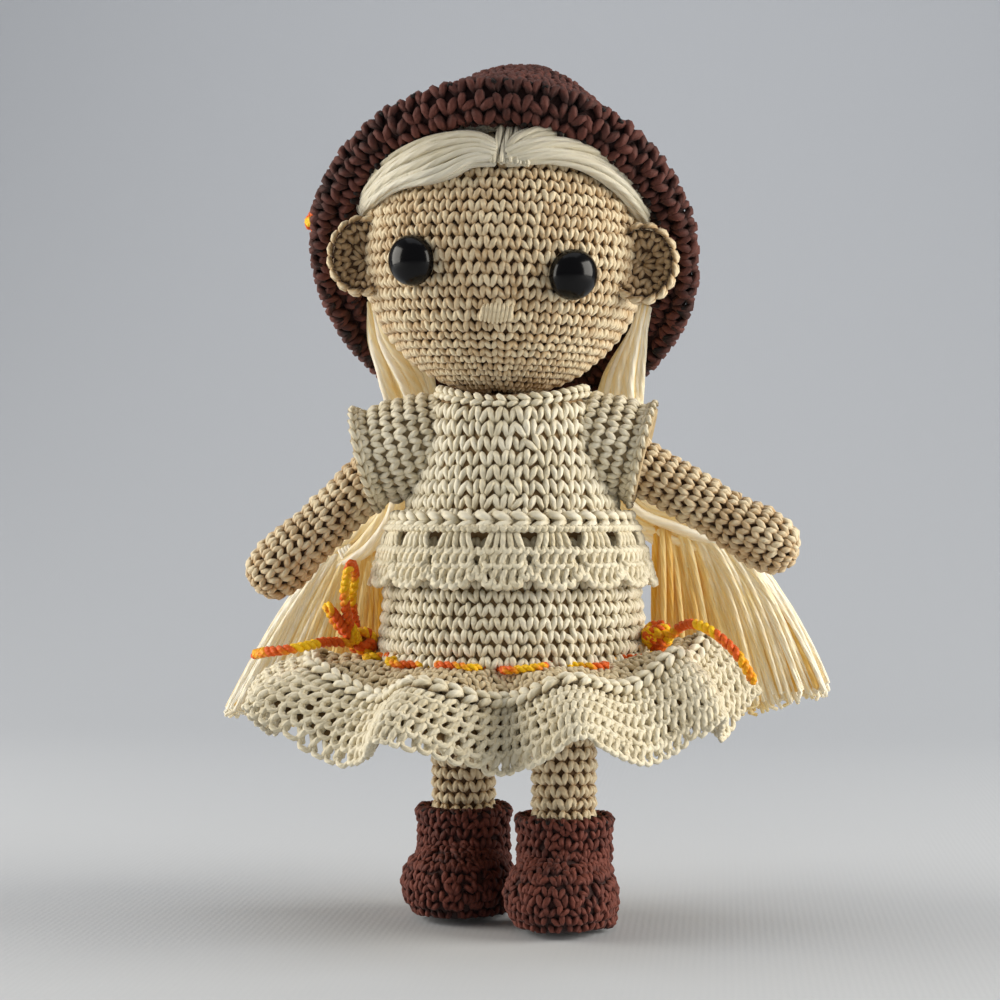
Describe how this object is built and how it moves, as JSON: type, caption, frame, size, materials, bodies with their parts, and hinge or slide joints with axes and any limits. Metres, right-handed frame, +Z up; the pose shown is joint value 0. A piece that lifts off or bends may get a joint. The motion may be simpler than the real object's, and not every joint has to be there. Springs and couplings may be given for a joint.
{
  "type": "amigurumi doll",
  "caption": "Crocheted doll with safety eyes, cream hair tails, a maroon hat and boots, and a beige lace-trimmed dress with an orange drawstring.",
  "frame": {"origin": "on the floor, under the middle of the doll's plan", "axes": "+Z up; the doll faces -Y; +X is the viewer's right"},
  "size_m": [0.152, 0.127, 0.2085],
  "materials": {
    "skin_yarn": "matte crocheted cotton",
    "dress_yarn": "matte crocheted cotton",
    "hair_yarn": "soft spun yarn",
    "maroon_yarn": "matte bulky crochet",
    "cord_yarn": "twisted two-ply cord",
    "eye_plastic": "polished black",
    "washer_plastic": "moulded, undyed",
    "fibrefill": "loose polyester fibre",
    "insole_board": "stiff sheet"
  },
  "bodies": {
    "doll": {"shoulder_yarn": "skin_yarn", "head_skin": "skin_yarn", "head_stuffing": "fibrefill", "left_eye": "eye_plastic", "left_eye_washer": "washer_plastic", "right_eye": "eye_plastic", "right_eye_washer": "washer_plastic", "nose": "skin_yarn", "hair_cap": "hair_yarn", "torso_skin": "skin_yarn", "torso_stuffing": "fibrefill", "bodice": "dress_yarn", "skirt": "dress_yarn", "waist_chain": "dress_yarn", "peplum": "dress_yarn", "ruffle": "dress_yarn", "drawstring_front": "cord_yarn", "drawstring_back": "cord_yarn", "drawstring_bow": "cord_yarn", "drawstring_knot": "cord_yarn", "drawstring_left_end": "cord_yarn", "drawstring_right_end": "cord_yarn", "left_ear": "skin_yarn", "left_fringe": "hair_yarn", "left_leg_skin": "skin_yarn", "left_leg_stuffing": "fibrefill", "left_boot": "maroon_yarn", "left_boot_stuffing": "fibrefill", "left_insole": "insole_board", "right_ear": "skin_yarn", "right_fringe": "hair_yarn", "right_leg_skin": "skin_yarn", "right_leg_stuffing": "fibrefill", "right_boot": "maroon_yarn", "right_boot_stuffing": "fibrefill", "right_insole": "insole_board"},
    "hat": {"hat": "maroon_yarn", "hat_knot": "cord_yarn"},
    "left_tail": {"left_tail_strands": "hair_yarn", "left_tail_tie": "hair_yarn", "left_tassel": "hair_yarn"},
    "right_tail": {"right_tail_strands": "hair_yarn", "right_tail_tie": "hair_yarn", "right_tassel": "hair_yarn"},
    "left_arm": {"left_arm_skin": "skin_yarn", "left_arm_stuffing": "fibrefill", "left_sleeve": "dress_yarn"},
    "right_arm": {"right_arm_skin": "skin_yarn", "right_arm_stuffing": "fibrefill", "right_sleeve": "dress_yarn"}
  },
  "joints": [
    {"name": "hat_lift", "type": "slide", "parent": "doll", "child": "hat", "axis": [0.0224, 0.766, 0.6424], "range_m": [0, 0.07]},
    {"name": "left_tail_swing", "type": "hinge", "parent": "doll", "child": "left_tail", "pos_m": [-0.03422, 0.00058, 0.146], "axis": [0, 1, 0], "range_deg": [0, 25]},
    {"name": "right_tail_swing", "type": "hinge", "parent": "doll", "child": "right_tail", "pos_m": [0.03278, 0.00058, 0.1458], "axis": [0, -1, 0], "range_deg": [0, 25]},
    {"name": "left_arm_swing", "type": "hinge", "parent": "doll", "child": "left_arm", "pos_m": [-0.01722, -0.00162, 0.1172], "axis": [-1, 0, 0], "range_deg": [-10, 70]},
    {"name": "right_arm_swing", "type": "hinge", "parent": "doll", "child": "right_arm", "pos_m": [0.01978, -0.00162, 0.1172], "axis": [-1, 0, 0], "range_deg": [-10, 70]}
  ]
}
